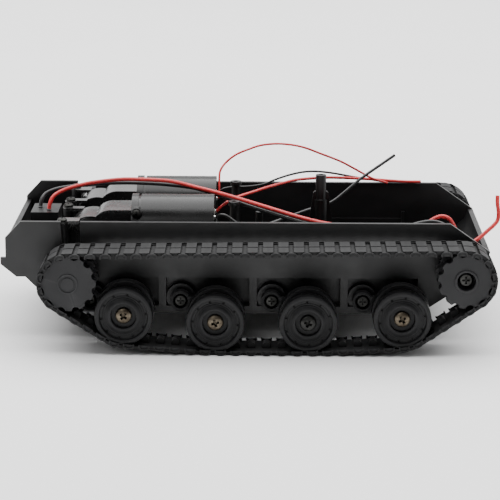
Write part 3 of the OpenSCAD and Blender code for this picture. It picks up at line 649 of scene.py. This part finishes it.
for side_name in SIDES:
    shape = wheel_mesh(side_name)
    for number in WHEELS:
        node = f"{side_name}_road_wheel_{number}"
        middle = centre_of(node)
        solid = bmesh.new()
        solid.from_mesh(shape)
        turned = Matrix.Rotation(math.radians(WHEEL_TURN * number), 4, "Y")
        solid.transform(Matrix.Translation((middle.x, 0, middle.z)) @ turned)
        wheel = add_object(node + "_disc", solid, "wheel_plastic", f"{side_name}_wheel_{number}", [node])
        normals = wheel.modifiers.new("split", "EDGE_SPLIT")
        normals.split_angle = SPLIT_ANGLE


# ---------------------------------------------------------------- wheel screws

RECESS_LONG = 3.6 * MM
RECESS_WIDE = 1.2 * MM
RECESS_DEEP = 1.4 * MM
RECESS_TAPER = 0.7
HEAD_HIGH = 1.5 * MM
SHANK_R = 0.75 * MM
SHANK_LONG = 2 * MM
AXIS_R = 0.01 * MM
SCREW_STEPS = 48
SCREW_TURN = 37


def screw_mesh(side):
    """A pan head about the Y axis with a tapered cross recess, seated where the CAD head is."""
    low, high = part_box(f"{side}_wheel_screw_1")
    tip = max(abs(low.y), abs(high.y))
    radius = (high.x - low.x) / 2
    seat = tip - HEAD_HIGH
    steps = 8
    dome = [(radius * math.cos(math.pi / 2 * k / steps) ** 0.8,
             seat + 0.45 * MM + 1.05 * MM * math.sin(math.pi / 2 * k / steps)) for k in range(steps)]
    profile = [(AXIS_R, seat - SHANK_LONG), (SHANK_R, seat - SHANK_LONG), (SHANK_R, seat),
               (radius * 0.97, seat), (radius, seat + 0.1 * MM)] + dome + [(AXIS_R, tip)]
    head = bmesh.new()
    lathe(head, profile, SIDES[side], SCREW_STEPS)
    cross = bmesh.new()
    for angle in (0, math.pi / 2):
        made = bmesh.ops.create_cube(cross, size=1)["verts"]
        for vert in made:
            narrow = RECESS_TAPER if vert.co.y < 0 else 1.0
            x = vert.co.x * RECESS_LONG * narrow
            z = vert.co.z * RECESS_WIDE * narrow
            y = SIDES[side] * (tip + vert.co.y * 2 * RECESS_DEEP)
            vert.co = (x * math.cos(angle) - z * math.sin(angle), y,
                       x * math.sin(angle) + z * math.cos(angle))
    return cut_away(head, cross)


for side_name in SIDES:
    shape = screw_mesh(side_name)
    for number in WHEELS:
        node = f"{side_name}_wheel_screw_{number}"
        middle = centre_of(node)
        solid = bmesh.new()
        solid.from_mesh(shape)
        turned = Matrix.Rotation(math.radians(SCREW_TURN * number), 4, "Y")
        solid.transform(Matrix.Translation((middle.x, 0, middle.z)) @ turned)
        finish = "dark_screw" if number == 3 else "screw_steel"
        screw = add_object(node + "_head", solid, finish, f"{side_name}_arm_body_{number}", [node])
        normals = screw.modifiers.new("split", "EDGE_SPLIT")
        normals.split_angle = SPLIT_ANGLE


# ---------------------------------------------------------------- solder

SOLDER_R = 0.85 * MM
SOLDER_FLAT = 0.9
SOLDER_ROUGH = 0.05
SOLDER_SEED = 7


def make_solder(side):
    """A drop of solder between each motor tab and its lead."""
    drops = bmesh.new()
    shake = random.Random(SOLDER_SEED)
    for lead in ("red", "black"):
        start = Vector(ROUTES[f"{side}_motor_{lead}_lead"][0]) * MM
        centre = start + Vector((-0.75, 0, -0.1)) * MM
        made = bmesh.ops.create_icosphere(drops, subdivisions=3, radius=SOLDER_R)
        for vert in made["verts"]:
            vert.co.x *= SOLDER_FLAT
            vert.co *= 1 + SOLDER_ROUGH * shake.random()
            vert.co += centre
    add_object(f"{side}_solder", drops, "solder", "chassis")


for side_name in SIDES:
    make_solder(side_name)


# ---------------------------------------------------------------- CAD nodes that stay

# Edge rounding of the CAD nodes by the record's slot, in millimetres.
ROUNDING = {"hull_plastic": 0.3, "case_plastic": 0.25, "sleeve_plastic": 0.3, "wheel_plastic": 0.18,
            "cap_plastic": 0.1, "plated_steel": 0.15}

for part in frame["record"]["subparts"]:
    node = frame["nodes"][part["node"]]
    if node.hide_render:
        continue
    finish = part["material_slot"]
    if part["node"].endswith(("_sprocket", "_idler")):
        finish = "drive_plastic"
    elif part["node"] == "gearbox_screws":
        finish = "dark_screw"
    elif "_arm_" in part["node"]:
        finish = "wheel_plastic"
    paint(node, finish)
    width = ROUNDING.get(part["material_slot"])
    if width:
        soften(node, width * MM, weld=True)


# ---------------------------------------------------------------- stage

FLOOR_HALF = 3
FLOOR_ROUGH = 0.9
FLOOR_SHINE = 0.1
SKY_FROM, SKY_TO = -0.3, 0.7
SKY_DIM, SKY_BRIGHT = 0.12, 1.1
OVERHEAD_WATTS = 115
FRONT_WATTS = 3


def area_light(name, at, target, size, power):
    data = bpy.data.lights.new(name, "AREA")
    data.shape = "RECTANGLE"
    data.size, data.size_y = size
    data.energy = power
    lamp = bpy.data.objects.new(name, data)
    lamp.location = at
    lamp.rotation_mode = "QUATERNION"
    lamp.rotation_quaternion = (Vector(target) - Vector(at)).to_track_quat("-Z", "Y")
    bpy.context.scene.collection.objects.link(lamp)


def make_stage():
    plane = bmesh.new()
    bmesh.ops.create_grid(plane, x_segments=1, y_segments=1, size=FLOOR_HALF)
    mesh = bpy.data.meshes.new("floor")
    plane.to_mesh(mesh)
    plane.free()
    floor = bpy.data.objects.new("floor", mesh)
    bpy.context.scene.collection.objects.link(floor)
    material, nodes, links, shader = new_material("floor")
    links.new(two_tone(nodes, links, noise(nodes, links, 3), (0.90, 0.90, 0.90), (0.93, 0.93, 0.93)),
              shader.inputs["Base Color"])
    shader.inputs["Roughness"].default_value = FLOOR_ROUGH
    shader.inputs["Specular IOR Level"].default_value = FLOOR_SHINE
    mesh.materials.append(material)
    world = bpy.data.worlds.new("studio")
    world.use_nodes = True
    nodes, links = world.node_tree.nodes, world.node_tree.links
    place = nodes.new("ShaderNodeTexCoord")
    split = nodes.new("ShaderNodeSeparateXYZ")
    behind = nodes.new("ShaderNodeMapRange")
    behind.inputs["From Min"].default_value = SKY_FROM
    behind.inputs["From Max"].default_value = SKY_TO
    behind.inputs["To Min"].default_value = SKY_DIM
    behind.inputs["To Max"].default_value = SKY_BRIGHT
    links.new(place.outputs["Generated"], split.inputs["Vector"])
    links.new(split.outputs["Y"], behind.inputs["Value"])
    links.new(behind.outputs["Result"], nodes["Background"].inputs["Strength"])
    nodes["Background"].inputs["Color"].default_value = (1, 1, 1, 1)
    bpy.context.scene.world = world
    area_light("overhead", (0, 0.5, 1.6), (0, 0.35, 0), (3.2, 2.4), OVERHEAD_WATTS)
    area_light("front", (-0.5, -1.2, 0.9), (0, 0, 0.03), (0.8, 0.5), FRONT_WATTS)


make_stage()
